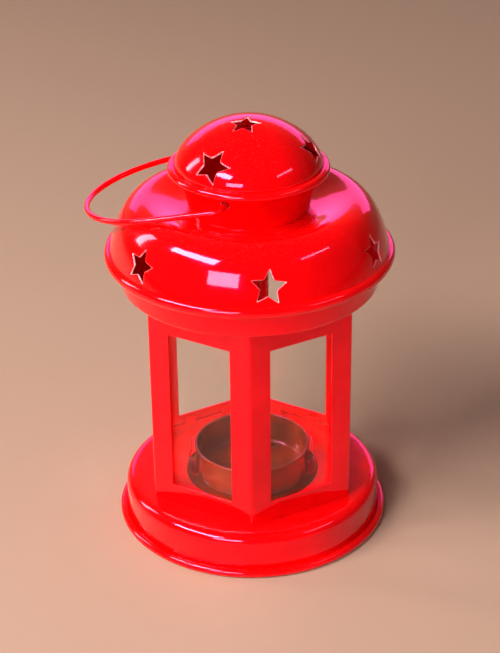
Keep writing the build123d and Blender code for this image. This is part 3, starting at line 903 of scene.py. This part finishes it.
cup_outer = CUP_RADIUS + CUP_SHEET
cup_foot = CUP_Z[0] - CUP_SHEET
cup_corners = [(cup_outer, CUP_ROLL[1]), (cup_outer, cup_foot), (AXIS_GAP, cup_foot)]
cup = turned_sheet(rounded(cup_corners, [CUP_BEND], 1.5, 10), -1, thickness=CUP_SHEET)
bead = Shell()
bead_rows = []
for angle in np.linspace(0, 2 * math.pi, 20, endpoint=False):
    r, z = CUP_ROLL[0] + CUP_ROLL[2] * math.cos(angle), CUP_ROLL[1] + CUP_ROLL[2] * math.sin(angle)
    turns = [2 * math.pi * k / 180 for k in range(180)]
    bead_rows.append(bead.ring((r * math.cos(t), r * math.sin(t), z) for t in turns))
for first, second in zip(bead_rows, bead_rows[1:] + bead_rows[:1]):
    bead.strip(first, second)
cup.add(bead)               # the rim, rolled shut
piece("candle_cup_drawn", cup, shaded_tray_red, "candle_tray", ["candle_cup"])

clip_foot = TRAY_Z[0] + CLIP_THICKNESS / 2
clip_bow = bezier(((20.3, clip_foot), (24.2, clip_foot + 0.2), (24.0, 22.2), CLIP_TOP), 24)
clip_line = np.vstack([[(radius, clip_foot) for radius in CLIP_TOE], clip_bow])
for name, turn in (("right", 90), ("left", -90)):
    clip = bent_strip([(-radius, z) for radius, z in clip_line], CLIP_WIDTH, CLIP_THICKNESS, 0.06)
    clip.moved(Matrix.Rotation(math.radians(turn), 4, "Z"))
    piece(f"bow_clip_{name}", clip, shaded_clip_red, "candle_tray", [f"spring_clip_{name}"])

# ---- floor, light and camera, in metres ----------------------------------------------------------
floor_path = rounded([(-5.0, 0), (1.5, 0), (1.5, 1.6)], [0.5], 0.1, 16)     # paper with a sweep behind
floor_mesh = bpy.data.meshes.new("floor")
count = len(floor_path)
floor_points = [(x, y, z) for x in (-6.0, 6.0) for y, z in floor_path]
floor_mesh.from_pydata(floor_points, [], [(k, k + 1, count + k + 1, count + k) for k in range(count - 1)])
floor_mesh.shade_smooth()
floor = bpy.data.objects.new("floor", floor_mesh)
floor.data.materials.append(studio_floor("floor_paper", (0.46, 0.30, 0.23), (0.43, 0.28, 0.21)))
bpy.context.scene.collection.objects.link(floor)

lantern_middle = Vector((0, 0, 0.08))


def softbox(name, azimuth, elevation, distance, size, power, colour):
    """A rectangular light that faces the lantern. Azimuth is from -Y towards +X, sizes in metres."""
    a, e = math.radians(azimuth), math.radians(elevation)
    away = Vector((math.sin(a) * math.cos(e), -math.cos(a) * math.cos(e), math.sin(e)))
    data = bpy.data.lights.new(name, "AREA")
    data.shape = "RECTANGLE"
    data.size, data.size_y = size
    data.energy = power
    data.color = colour
    lamp = bpy.data.objects.new(name, data)
    lamp.location = lantern_middle + away * distance
    lamp.rotation_euler = away.to_track_quat("Z", "Y").to_euler()
    bpy.context.scene.collection.objects.link(lamp)
    return lamp


softbox("key", -56, 43, 1.3, (0.9, 0.24), 27, (1.0, 0.94, 0.88))
softbox("window", -21, 20, 1.0, (0.42, 0.24), 5.5, (1.0, 0.98, 0.96))
back_wall = softbox("back_wall", 178, 18, 1.25, (1.7, 0.42), 9, (1.0, 0.08, 0.38))
back_wall.light_linking.receiver_collection = lantern_pieces    # its colour stays off the floor
softbox("right_strip", 66, 38, 1.3, (0.60, 0.07), 1.2, (1.0, 0.93, 0.95))
softbox("left_strip", -108, 24, 1.2, (0.16, 0.55), 3.5, (1.0, 0.90, 0.92))

world = bpy.data.worlds.new("studio")
world.use_nodes = True
world.node_tree.nodes["Background"].inputs["Color"].default_value = (1.0, 0.90, 0.84, 1)
world.node_tree.nodes["Background"].inputs["Strength"].default_value = 0.07
bpy.context.scene.world = world
bpy.context.scene.view_settings.view_transform = "Standard"

# the photo's camera, as solved from the lantern's visible circles and hexagon
CAMERA_PLACE = Vector((5.49, -563.2, 377.1)) * MM
CAMERA_YAW, CAMERA_PITCH, CAMERA_ROLL = -0.0101, 0.49173, -0.0123
CAMERA_LENS = 97.54
ahead = Vector((math.sin(CAMERA_YAW) * math.cos(CAMERA_PITCH),
                math.cos(CAMERA_YAW) * math.cos(CAMERA_PITCH), -math.sin(CAMERA_PITCH)))
level = Vector((math.cos(CAMERA_YAW), -math.sin(CAMERA_YAW), 0))
upright = level.cross(ahead)
right = level * math.cos(CAMERA_ROLL) + upright * math.sin(CAMERA_ROLL)
top = upright * math.cos(CAMERA_ROLL) - level * math.sin(CAMERA_ROLL)
camera_data = bpy.data.cameras.new("camera")
camera_data.lens = CAMERA_LENS
camera_data.sensor_width = 36
camera_data.clip_start = 0.02
camera = bpy.data.objects.new("camera", camera_data)
camera.matrix_world = Matrix.Translation(CAMERA_PLACE) @ Matrix((right, top, -ahead)).transposed().to_4x4()
bpy.context.scene.collection.objects.link(camera)
bpy.context.scene.camera = camera

bpy.context.view_layer.update()
